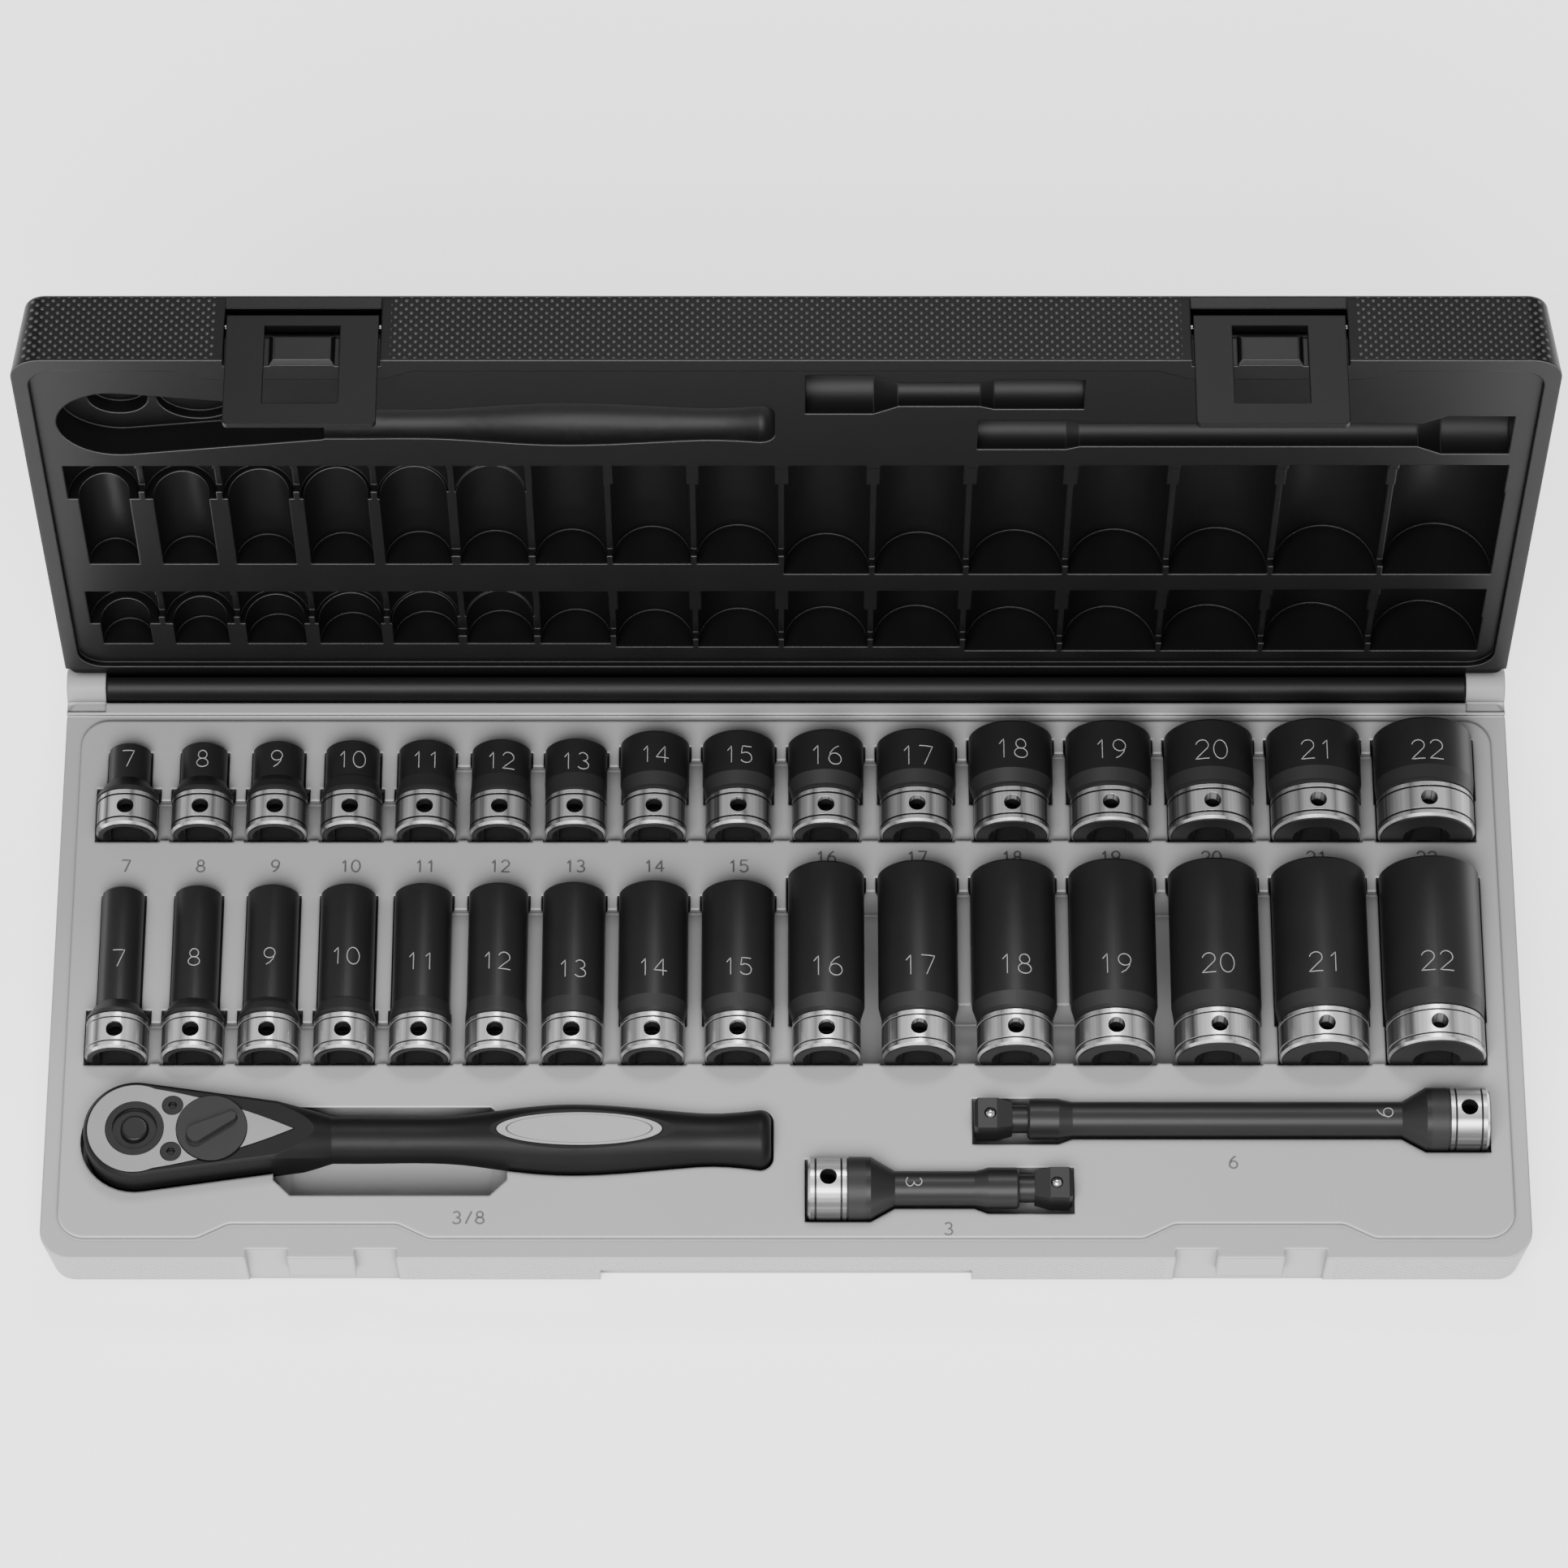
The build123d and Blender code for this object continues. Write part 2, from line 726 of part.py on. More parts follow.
def make_latch(x, name):
    """Latch plate with its window, hung from the lid on its pin and swung a little clear."""
    half = latch_width / 2
    lip = latch_hinge_z + latch_lip
    plate = block(x - half, x + half, plate_front, plate_front + latch_thick, plate_low, lip)
    window = block(x - window_width / 2, x + window_width / 2, plate_front - overcut, latch_back,
                   window_low, hinge_z + window_above_rim)
    with BuildPart() as closed:
        add(plate)
        fillet(closed.edges().filter_by(Axis.Y).group_by(Axis.Z)[0], radius=latch_corner_r)
        add(window, mode=Mode.SUBTRACT)
        add(block(x - half, x + half, plate_front + latch_thick / 2, latch_hinge_y,
                  latch_hinge_z - latch_barrel_r, lip))
        add(rod(x - half, x + half, latch_hinge_y, latch_hinge_z, latch_barrel_r))
        add(rod(x - half, x + half, latch_hinge_y, latch_hinge_z, latch_pin_r + pin_running_gap),
            mode=Mode.SUBTRACT)
    with BuildPart() as latch:
        add(opened(closed.part.rotate(latch_axis, -latch_swing)))
    latch.part.label = name
    export_step(latch.part, f"parts/{name}.step")


# ---------------------------------------------------------------------------------------------
# Sockets
# ---------------------------------------------------------------------------------------------


def across_plane(place, along):
    """Plane square to a tool's axis, looking along it."""
    return Plane(origin=place, x_dir=(0, 0, 1), z_dir=along)


def drive_mouth(start, direction):
    """Countersunk mouth of a square drive hole."""
    return turned([(0, 0), (0, mouth_r), (mouth_depth, mouth_r - mouth_depth), (mouth_depth, 0)],
                  start, direction)


def make_socket(tool, hex_depth):
    """Socket with a square hole at the driven end, a hexagon at the nose and a round way between."""
    start = (tool.x, tool.y, socket_z)
    nose = (tool.x, tool.y + tool.length, socket_z)
    with BuildPart() as socket:
        add(turned(socket_profile(tool), start, (0, 1, 0)))
        with BuildSketch(across_plane(start, (0, 1, 0))):
            Rectangle(drive_hole, drive_hole)
        extrude(amount=drive_depth, mode=Mode.SUBTRACT)
        add(drive_mouth(start, (0, 1, 0)), mode=Mode.SUBTRACT)
        with BuildSketch(across_plane(start, (0, 1, 0))):
            Circle(min(tool.size, passage_most + passage_less) / 2 - passage_less / 2)
        extrude(amount=tool.length, mode=Mode.SUBTRACT)
        with BuildSketch(across_plane(nose, (0, -1, 0))):
            RegularPolygon((tool.size + hex_gap) / 2, 6, major_radius=False)
        extrude(amount=hex_depth, mode=Mode.SUBTRACT)
        with BuildSketch(Plane.XY.offset(socket_z)):
            with Locations((tool.x, tool.y + cross_hole_place)):
                Circle(cross_hole_r)
        extrude(amount=tool.drive + overcut, mode=Mode.SUBTRACT)
    socket.part.label = tool.name
    export_step(socket.part, f"parts/{tool.name}.step")


# ---------------------------------------------------------------------------------------------
# Ratchet
# ---------------------------------------------------------------------------------------------
disc_floor = plate_floor + selector_floor
selector_foot = disc_floor - selector_shaft
square_foot = head_bottom - drive_length
ball_z = square_foot + male_ball_place
centre = Location((ratchet_x, ratchet_y, 0))


def plate_outline(grow):
    """Teardrop face of the plate: a circle that runs to a point with slightly full sides."""
    r, tip = plate_r + grow, plate_tip + grow
    lean = math.acos(r / tip) - plate_lean
    x, y = r * math.cos(lean), r * math.sin(lean)
    mid = ((x + tip) / 2, y / 2 + plate_bulge)
    with BuildSketch() as outline:
        with BuildLine():
            ThreePointArc((x, y), (-r, 0), (x, -y))
            ThreePointArc((x, -y), (mid[0], -mid[1]), (tip, 0))
            ThreePointArc((tip, 0), mid, (x, y))
        make_face()
    return outline.sketch


def plate_solid(grow, low, high):
    """Plate, or its seat in the head."""
    with BuildPart() as piece:
        with BuildSketch(Plane.XY.offset(low).move(centre)):
            add(plate_outline(grow))
        extrude(amount=high - low)
    return piece.part


handle = handle_solid(0)
screw_spots = [(screw_along, side * screw_across) for side in (-1, 1)]
pawl_room = block(ratchet_x, ratchet_x + pawl_back + pawl_gap + pawl_back_room,
                  ratchet_y - pawl_half - pawl_gap, ratchet_y + pawl_half + pawl_gap,
                  gear_bottom - gear_gap, gear_top + gear_gap)
flat_cut = block(ratchet_x + flat_span[0], ratchet_x + flat_span[1], ratchet_y - head_r,
                 ratchet_y + head_r, handle_z + flat_height, handle_z + head_r)


def inlay_solid(grow, low, high):
    """Oval inlay, or its seat in the handle."""
    with BuildPart() as piece:
        with BuildSketch(Plane.XY.offset(low).move(centre)):
            with Locations((inlay_centre, 0)):
                Ellipse(inlay_half + grow, inlay_half_width + grow)
        extrude(amount=high - low)
    return piece.part


head_core = head_block(0, head_bottom, head_top)
neck_cut_r = neck_taper_r + head_r
neck_slope = turned([(neck_taper_start, neck_cut_r), (neck_taper_start, neck_taper_r),
                     (neck_reach, neck_half), (neck_reach + overcut, neck_half),
                     (neck_reach + overcut, neck_cut_r)],
                    (ratchet_x, ratchet_y, handle_z), (1, 0, 0))
inlay_low = handle_z + flat_height - inlay_sink

with BuildPart() as ratchet_body:
    add(head_core)
    fillet(ratchet_body.faces().sort_by(Axis.Z)[0].edges(), radius=head_fillet)
    chamfer(ratchet_body.faces().sort_by(Axis.Z)[-1].edges(), length=head_chamfer)
    add(neck_slope, mode=Mode.SUBTRACT)
    add(handle)
    add(flat_cut, mode=Mode.SUBTRACT)
    add(inlay_solid(plate_gap, inlay_low, handle_z + head_r), mode=Mode.SUBTRACT)
    add(plate_solid(plate_gap, plate_floor, lid_top), mode=Mode.SUBTRACT)
    add(post(selector_reach, 0, selector_r + selector_gap, disc_floor, lid_top), mode=Mode.SUBTRACT)
    add(post(selector_reach, 0, selector_shaft_r + running_gap, selector_foot - selector_shaft_gap,
             lid_top), mode=Mode.SUBTRACT)
    add(pawl_room, mode=Mode.SUBTRACT)
    add(post(pawl_pivot, 0, pawl_pin_r + running_gap, gear_bottom - pawl_pin_length - pawl_gap,
             gear_bottom), mode=Mode.SUBTRACT)
    add(post(0, 0, gear_r + gear_gap, gear_bottom - gear_gap, gear_top + gear_gap), mode=Mode.SUBTRACT)
    add(post(0, 0, hub_r + running_gap, gear_top, lid_top), mode=Mode.SUBTRACT)
    add(post(0, 0, journal_r + running_gap, 0, gear_bottom), mode=Mode.SUBTRACT)
    for along, across in screw_spots:
        add(post(along, across, screw_shank_r, plate_top - screw_length, lid_top), mode=Mode.SUBTRACT)
ratchet_body.part.label = "ratchet_body"

with BuildPart() as ratchet_plate:
    add(plate_solid(0, plate_floor, plate_top))
    add(post(0, 0, hub_r + running_gap, 0, lid_top), mode=Mode.SUBTRACT)
    add(post(selector_reach, 0, selector_r + selector_gap, disc_floor, lid_top), mode=Mode.SUBTRACT)
    add(post(selector_reach, 0, selector_shaft_r + running_gap, 0, lid_top), mode=Mode.SUBTRACT)
    for along, across in screw_spots:
        add(post(along, across, screw_head_r + plate_gap, 0, lid_top), mode=Mode.SUBTRACT)
ratchet_plate.part.label = "ratchet_plate"

with BuildPart() as ratchet_screws:
    for along, across in screw_spots:
        add(post(along, across, screw_head_r, plate_floor, plate_top))
        add(post(along, across, screw_shank_r, plate_top - screw_length, plate_floor))
        with BuildSketch(Plane.XY.offset(plate_top).move(centre)):
            with Locations((along, across)):
                RegularPolygon(screw_key / 2, 6, major_radius=False)
        extrude(amount=-screw_key_depth, mode=Mode.SUBTRACT)
ratchet_screws.part.label = "ratchet_screws"

with BuildPart() as ratchet_selector:
    add(post(selector_reach, 0, selector_r, disc_floor + running_gap, selector_top))
    add(post(selector_reach, 0, selector_shaft_r, selector_foot, disc_floor + running_gap))
    with BuildSketch(Plane.XY.offset(selector_top).move(centre)):
        with Locations((selector_reach, 0)):
            with Locations(Location((0, 0, 0), (0, 0, lever_angle))):
                with Locations((-lever_back, 0)):
                    Circle(lever_big_r)
                with Locations((lever_front, 0)):
                    Circle(lever_small_r)
                Polygon((-lever_back, lever_big_r), (-lever_back, -lever_big_r),
                        (lever_front, -lever_small_r), (lever_front, lever_small_r), align=None)
    extrude(amount=lever_height, taper=lever_draft)
ratchet_selector.part.label = "ratchet_selector"

with BuildPart() as ratchet_drive:
    with BuildSketch(Plane.XY.offset(gear_bottom).move(centre)):
        with BuildLine():
            half_tooth = math.pi / gear_teeth
            teeth = [(r * math.cos(a), r * math.sin(a)) for i in range(gear_teeth)
                     for r, a in ((gear_r, 2 * i * half_tooth), (gear_root_r, (2 * i + 1) * half_tooth))]
            Polyline(*teeth, close=True)
        make_face()
    extrude(amount=gear_top - gear_bottom)
    add(post(0, 0, hub_r, gear_top, plate_top + plate_gap))
    add(post(0, 0, journal_r, head_bottom, gear_bottom))
    with BuildSketch(Plane.XY.offset(head_bottom).move(centre)):
        Rectangle(drive_size, drive_size)
    extrude(amount=-drive_length)
    chamfer(ratchet_drive.faces().sort_by(Axis.Z)[0].edges(), length=male_chamfer)
    add(post(0, 0, dish_r, plate_top - dish_depth, lid_top), mode=Mode.SUBTRACT)
    add(post(0, 0, button_r + running_gap, button_foot - button_stroke - button_room, lid_top),
        mode=Mode.SUBTRACT)
    add(post(0, 0, plunger_r + running_gap, square_foot + plunger_floor, lid_top), mode=Mode.SUBTRACT)
    with BuildSketch(Plane(origin=(ratchet_x, ratchet_y, ball_z), z_dir=(0, -1, 0))):
        Circle(ball_r + ball_gap)
    extrude(amount=drive_size, mode=Mode.SUBTRACT)
ratchet_drive.part.label = "ratchet_drive"

with BuildPart() as pawl_square:
    add(block(ratchet_x + gear_r - pawl_overlap, ratchet_x + pawl_back, ratchet_y - pawl_half,
              ratchet_y + pawl_half, gear_bottom, gear_top))
    add(post(0, 0, gear_r + pawl_face_gap, gear_bottom, gear_top), mode=Mode.SUBTRACT)

with BuildPart() as ratchet_pawl:
    add(pawl_square.part.rotate(Axis((ratchet_x + pawl_pivot, ratchet_y, 0), (0, 0, 1)), pawl_tilt))
    add(post(pawl_pivot, 0, pawl_pin_r, gear_bottom - pawl_pin_length, gear_bottom))
ratchet_pawl.part.label = "ratchet_pawl"

with BuildPart() as ratchet_button:
    add(post(0, 0, button_r, button_foot, button_top))
    fillet(ratchet_button.faces().sort_by(Axis.Z)[-1].edges(), radius=button_edge_r)
    add(post(0, 0, plunger_r, button_foot - plunger_length, button_foot))
    add(post(0, 0, plunger_tip_r, square_foot + plunger_floor + button_stroke + plunger_gap,
             button_foot - plunger_length))
ratchet_button.part.label = "ratchet_button"


def make_ball(name, place):
    """Spring-loaded detent ball."""
    with BuildPart() as ball:
        with Locations(place):
            Sphere(ball_r)
    ball.part.label = name
    export_step(ball.part, f"parts/{name}.step")


with BuildPart() as ratchet_inlay:
    add(inlay_solid(0, inlay_low, handle_z + flat_height + inlay_rise))
ratchet_inlay.part.label = "ratchet_inlay"

# ---------------------------------------------------------------------------------------------
# Extensions
# ---------------------------------------------------------------------------------------------


def make_extension(name, start_x, y, length, sign):
    """Extension bar: a driven end like a socket's, a turned bar and a waisted square with a ball."""
    along = (sign, 0, 0)
    start = (start_x, y, extension_z)
    square = length - drive_length
    neck = square - male_neck_length
    collar = neck - male_collar_length
    square_start = (start_x + sign * square, y, extension_z)
    taper_end = (start_x + sign * (square + male_taper_length), y, extension_z)
    tip = (start_x + sign * length, y, extension_z)
    ball_x = start_x + sign * (length - male_ball_place)
    profile = drive_section(extension_r) + [
        (collar_end, extension_r), (cone_end, shaft_r), (collar - male_cone, shaft_r),
        (collar, male_collar_r), (neck - male_edge, male_collar_r), (neck, male_collar_r - male_edge),
        (neck, male_neck_r), (square, male_neck_r), (square, 0)]
    with BuildPart() as bar:
        add(turned(profile, start, along))
        with BuildSketch(across_plane(square_start, along)):
            Rectangle(male_waist, male_waist)
        with BuildSketch(across_plane(taper_end, along)):
            Rectangle(drive_size, drive_size)
        loft()
        with BuildSketch(across_plane(tip, (-sign, 0, 0))):
            Rectangle(drive_size, drive_size)
        extrude(amount=drive_length - male_taper_length)
        chamfer(bar.faces().sort_by(Axis.X)[-1 if sign > 0 else 0].edges(), length=male_chamfer)
        with BuildSketch(across_plane(start, along)):
            Rectangle(drive_hole, drive_hole)
        extrude(amount=drive_depth, mode=Mode.SUBTRACT)
        add(drive_mouth(start, along), mode=Mode.SUBTRACT)
        with BuildSketch(Plane.XY.offset(extension_z)):
            with Locations((start_x + sign * cross_hole_place, y)):
                Circle(cross_hole_r)
        extrude(amount=extension_r + overcut, mode=Mode.SUBTRACT)
        well = extension_z + drive_size / 2 + ball_out - 2 * ball_r - ball_well
        with BuildSketch(Plane.XY.offset(well)):
            with Locations((ball_x, y)):
                Circle(ball_r + ball_gap)
        extrude(amount=drive_size, mode=Mode.SUBTRACT)
    bar.part.label = name
    export_step(bar.part, f"parts/{name}.step")
    make_ball(f"{name}_ball", (ball_x, y, extension_z + drive_size / 2 + ball_out - ball_r))


# ---------------------------------------------------------------------------------------------
# Write every piece
# ---------------------------------------------------------------------------------------------
os.makedirs("parts", exist_ok=True)
export_step(case_base.part, "parts/case_base.step")
export_step(case_lid.part, "parts/case_lid.step")
export_step(hinge_pins.part, "parts/hinge_pins.step")
export_step(latch_pins.part, "parts/latch_pins.step")
make_latch(-latch_x, "latch_left")
make_latch(latch_x, "latch_right")
for tool in standard_row:
    make_socket(tool, tool.length - drive_depth - hex_stop)
for tool in deep_row:
    make_socket(tool, deep_hex_depth)
export_step(ratchet_body.part, "parts/ratchet_body.step")
export_step(ratchet_plate.part, "parts/ratchet_plate.step")
export_step(ratchet_screws.part, "parts/ratchet_screws.step")
export_step(ratchet_selector.part, "parts/ratchet_selector.step")
export_step(ratchet_drive.part, "parts/ratchet_drive.step")
export_step(ratchet_pawl.part, "parts/ratchet_pawl.step")
export_step(ratchet_button.part, "parts/ratchet_button.step")
export_step(ratchet_inlay.part, "parts/ratchet_inlay.step")
make_ball("ratchet_ball", (ratchet_x, ratchet_y - drive_size / 2 - ball_out + ball_r, ball_z))
make_extension("extension_long", long_start, long_y, long_length, -1)
make_extension("extension_short", short_start, short_y, short_length, 1)
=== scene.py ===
# %% [markdown]
# # A socket wrench set in its case
#
# Thirty-two sockets, a ratchet and two extensions lie in the grey tray of a moulded case.
# Its black lid stands open behind them.
#
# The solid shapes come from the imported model.
# This lesson gives them their finishes, adds the numbers, and lights the set as a studio would.
# Everything is in metres, in the model's own frame: +X to the right, +Y towards the hinge, +Z up.

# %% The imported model
import math

import bpy
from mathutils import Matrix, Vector


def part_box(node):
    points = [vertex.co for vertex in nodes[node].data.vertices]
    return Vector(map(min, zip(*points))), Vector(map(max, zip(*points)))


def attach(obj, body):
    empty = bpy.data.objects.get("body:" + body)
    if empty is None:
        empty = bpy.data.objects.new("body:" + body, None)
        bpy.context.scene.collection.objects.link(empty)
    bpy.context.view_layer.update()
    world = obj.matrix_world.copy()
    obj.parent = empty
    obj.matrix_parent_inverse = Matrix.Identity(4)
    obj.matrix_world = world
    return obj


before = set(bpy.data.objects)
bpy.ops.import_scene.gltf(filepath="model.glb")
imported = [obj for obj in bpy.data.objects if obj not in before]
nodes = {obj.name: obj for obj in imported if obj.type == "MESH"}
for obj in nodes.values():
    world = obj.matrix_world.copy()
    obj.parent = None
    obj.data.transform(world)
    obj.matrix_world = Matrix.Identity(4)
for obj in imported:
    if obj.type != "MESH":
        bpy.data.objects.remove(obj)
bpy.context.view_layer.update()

MM = 0.001
print("nodes in the model:", len(nodes))

# %% [markdown]
# ## Shading as arithmetic
#
# A finish is a small sum over the surface, such as how far a point is from a tool's end.
# `Value` wraps a shader socket, so that the sum can be written as one.
# `Finish` holds one material and adds its nodes.

# %% Values and finishes


class Value:
    """A number that changes over the surface. Arithmetic on it adds Math nodes."""

    def __init__(self, finish, socket):
        self.finish = finish
        self.socket = socket

    def math(self, operation, *terms, swapped=False):
        inputs = [*terms, self] if swapped else [self, *terms]
        return self.finish.node("ShaderNodeMath", inputs, operation=operation)

    def __add__(self, other):
        return self.math("ADD", other)

    def __sub__(self, other):
        return self.math("SUBTRACT", other)

    def __mul__(self, other):
        return self.math("MULTIPLY", other)

    def __truediv__(self, other):
        return self.math("DIVIDE", other)

    def __rsub__(self, other):
        return self.math("SUBTRACT", other, swapped=True)

    def __abs__(self):
        return self.math("ABSOLUTE")

    def __lt__(self, other):
        return self.math("LESS_THAN", other)

    def __gt__(self, other):
        return self.math("GREATER_THAN", other)

    __radd__ = __add__
    __rmul__ = __mul__

    def clamped(self):
        """The value kept between nought and one."""
        return self.math("MAXIMUM", 0.0).math("MINIMUM", 1.0)

    def length_with(self, other):
        """The length of the step that has these two values as its sides."""
        return (self * self + other * other).math("SQRT")


class Finish:
    """One material, built up from nodes round a Principled shader."""

    def __init__(self, name):
        self.material = bpy.data.materials.new(name)
        self.material.use_nodes = True
        self.tree = self.material.node_tree
        self.tree.nodes.clear()
        self.shader = self.tree.nodes.new("ShaderNodeBsdfPrincipled")
        output = self.tree.nodes.new("ShaderNodeOutputMaterial")
        self.tree.links.new(self.shader.outputs[0], output.inputs["Surface"])

    def fill(self, socket, content):
        """Links a value to a socket, or writes a constant into it."""
        if isinstance(content, Value):
            self.tree.links.new(content.socket, socket)
        else:
            socket.default_value = content

    def node(self, kind, inputs, output=0, **settings):
        """Adds a node with its settings and its inputs, and returns one of its outputs."""
        node = self.tree.nodes.new(kind)
        for key, setting in settings.items():
            setattr(node, key, setting)
        pairs = inputs.items() if isinstance(inputs, dict) else enumerate(inputs)
        for key, content in pairs:
            self.fill(node.inputs[key], content)
        return Value(self, node.outputs[output])

    def set(self, **inputs):
        """Fills the Principled shader's sockets: base_color means Base Color."""
        for key, content in inputs.items():
            self.fill(self.shader.inputs[key.replace("_", " ").title().replace("Ior", "IOR")], content)

    def place(self):
        """The point's x, y and z in millimetres, and the point itself as a vector."""
        point = self.node("ShaderNodeTexCoord", [], output="Object")
        split = self.node("ShaderNodeSeparateXYZ", [point])
        axes = [Value(self, split.socket.node.outputs[i]) / MM for i in range(3)]
        return (*axes, point)

    def facing(self):
        """The three parts of the surface's direction in the piece's own frame."""
        normal = self.node("ShaderNodeTexCoord", [], output="Normal")
        split = self.node("ShaderNodeSeparateXYZ", [normal])
        return [Value(self, split.socket.node.outputs[i]) for i in range(3)]

    def noise(self, point, per_metre, detail=2.0):
        """Soft random variation with so many lumps to the metre."""
        sockets = {"Vector": point, "Scale": per_metre, "Detail": detail}
        return self.node("ShaderNodeTexNoise", sockets, output="Fac")

    def mix(self, share, first, second):
        """A colour between two colours."""
        sockets = {0: share, 6: first, 7: second}
        return self.node("ShaderNodeMix", sockets, output=2, data_type="RGBA")

    def soft_edges(self, radius):
        """The surface's direction with its sharp edges rounded, as a mould leaves them."""
        return self.node("ShaderNodeBevel", {"Radius": radius * MM}, samples=6)

    def openness(self, reach):
        """Nought in a narrow gap and one in the open, judged over a reach in millimetres."""
        return self.node("ShaderNodeAmbientOcclusion", {"Distance": reach * MM}, output="AO", samples=6)

    def bump(self, height, depth, normal):
        """Small relief: height runs from nought to one, and depth is in millimetres."""
        sockets = {"Height": height, "Distance": depth * MM, "Strength": 1.0, "Normal": normal}
        return self.node("ShaderNodeBump", sockets)


def grey(level):
    """A neutral colour."""
    return (level, level, level, 1.0)


print("finishes are ready to be mixed")

# %% [markdown]
# ## The moulded case
#
# Both halves are moulded plastic: soft edges, a faint grain and a slight unevenness of tone. Their edges
# carry a painted highlight where they turn away from the hinge, and painted shade where they turn
# towards it.
# The walls that face the user when the case is shut carry rows of small raised dots.
# They stop short of the latches and of the corners, where the plastic is smooth.
# Dots this small could be modelled, but there are thousands of them, so they are a field of bumps with a
# painted highlight: a paler tone on each dot.
# Narrow gaps between a tool and its seat get painted shade, so the plastic is darker there.

# %% A field of dots
DOT_PITCH = 2.9
DOT_ROW = 1.45
DOT_RADIUS = 0.68


def dots(finish, across, along):
    """Height of a field of round dots, every other row shifted by half a pitch."""
    row = along / DOT_ROW
    shift = (row.math("FLOOR") / 2).math("FRACT")
    dot_x = ((across / DOT_PITCH + shift).math("FRACT") - 0.5) * DOT_PITCH
    dot_y = (row.math("FRACT") - 0.5) * DOT_ROW
    return (1 - dot_x.length_with(dot_y) / DOT_RADIUS).clamped()


print("dots", 2 * DOT_RADIUS, "mm across in rows", DOT_ROW, "mm apart")

# %% Moulded plastic
LATCH_X = 134.5
SMOOTH_HALF = 24.5
DOTTED_HALF = 213.0
WALL_TURN = 0.75
FRONT_WALL_Y = -88.0
LID_WALL_Z = 190.0
WAVE_DEPTH = 0.12
DOT_DEPTH = 0.7
MOULD_GRAIN_DEPTH = 0.012
PAINTED_EDGE_CONTRAST = 2.2
# painted shade in narrow gaps: how far to look, how strong it is and how dark
GAP_REACH = 5.0
GAP_CONTRAST = 1.5
GAP_SHADE = 0.2
GAP_PAINTED_SHADE_TONE = 0.25
DOT_HIGHLIGHT_SHARE = 1.6


def paint(name, material):
    """Gives a CAD node its finish."""
    mesh = nodes[name].data
    mesh.materials.clear()
    mesh.materials.append(material)


def moulded(name, tones, painted_edge_tones, dot_highlight_tone, rough, shine, edge, on_lid, wall):
    """Plastic between two tones, with dots on one wall, from one distance along it to another.

    Edges that turn away from the hinge get a painted highlight, and those that turn towards it painted
    shade, as the light from the front falls on them.
    The two edge tones are given dark first; the dark one also sets the painted shade in narrow gaps.
    """
    finish = Finish(name)
    x, y, z, point = finish.place()
    facing = finish.facing()
    cloud = finish.noise(point, 14.0)
    grain = finish.noise(point, 2600.0, detail=1.0)
    waves = finish.noise(point, 45.0)
    rounded = finish.soft_edges(edge)
    turned = finish.node("ShaderNodeSeparateXYZ", [rounded], output=2 if on_lid else 1)
    if on_lid:
        along, outward, painted_edge_light, on_wall = y, facing[2], turned - facing[2], z > LID_WALL_Z
    else:
        along, outward, painted_edge_light, on_wall = z, facing[1] * -1, facing[1] - turned, y < FRONT_WALL_Y
    beside_latch = abs(abs(x) - LATCH_X) > SMOOTH_HALF
    inside = (along > wall[0]) * (along < wall[1]) * (abs(x) < DOTTED_HALF)
    relief = dots(finish, x, along) * (outward > WALL_TURN) * beside_latch * inside * on_wall
    normal = finish.bump(waves, WAVE_DEPTH, rounded)
    normal = finish.bump(relief, DOT_DEPTH, normal)
    normal = finish.bump(grain, MOULD_GRAIN_DEPTH, normal)
    tone = finish.mix(cloud, grey(tones[0]), grey(tones[1]))
    # painted highlight on edges turning away from the hinge, painted shade on edges turning towards it
    tone = finish.mix((painted_edge_light * PAINTED_EDGE_CONTRAST).clamped(), tone, grey(painted_edge_tones[1]))
    tone = finish.mix((painted_edge_light * -PAINTED_EDGE_CONTRAST).clamped(), tone, grey(painted_edge_tones[0]))
    # painted shade: darker where the surroundings close in, as in the narrow gaps round the tools
    open_share = (finish.openness(GAP_REACH) * GAP_CONTRAST - GAP_SHADE).clamped()
    tone = finish.mix(open_share, grey(painted_edge_tones[0] * GAP_PAINTED_SHADE_TONE), tone)
    # the dots get a painted highlight: a paler tone on each dot
    finish.set(base_color=finish.mix((relief * DOT_HIGHLIGHT_SHARE).clamped(), tone, grey(dot_highlight_tone)),
               roughness=rough + grain * 0.08,
               specular_ior_level=shine,
               normal=normal)
    return finish.material


tray_plastic = moulded("tray_grey", tones=(0.35, 0.39), painted_edge_tones=(0.17, 0.75), dot_highlight_tone=0.50, rough=0.46,
                       shine=0.4, edge=1.1, on_lid=False, wall=(1.5, 20.0))
lid_plastic = moulded("lid_black", tones=(0.004, 0.006), painted_edge_tones=(0.002, 0.14), dot_highlight_tone=0.09, rough=0.38,
                      shine=0.18, edge=0.7, on_lid=True, wall=(99.1, 120.9))
paint("case_base", tray_plastic)
paint("case_lid", lid_plastic)
print("case finishes:", tray_plastic.name, lid_plastic.name)

# %% [markdown]
# ## Latches, pins and the ratchet
#
# The small parts need no more than a tone, a fine grain and edges that aren't razor sharp.
# The ratchet's face plate is satin metal, and so is the oval in its handle,
# which has a fine line engraved just inside its edge and nothing else on it.

# %% Plain finishes


def plain(name, low, high, rough, metallic=0.0, edge=0.3, grain_depth=0.008, shine=0.5):
    """A finish between two tones with a fine grain and slightly soft edges."""
    finish = Finish(name)
    *_, point = finish.place()
    cloud = finish.noise(point, 60.0)
    grain = finish.noise(point, 3500.0, detail=1.0)
    finish.set(base_color=finish.mix(cloud, grey(low), grey(high)),
               roughness=rough + grain * 0.1,
               metallic=metallic,
               specular_ior_level=shine,
               normal=finish.bump(grain, grain_depth, finish.soft_edges(edge)))
    return finish.material


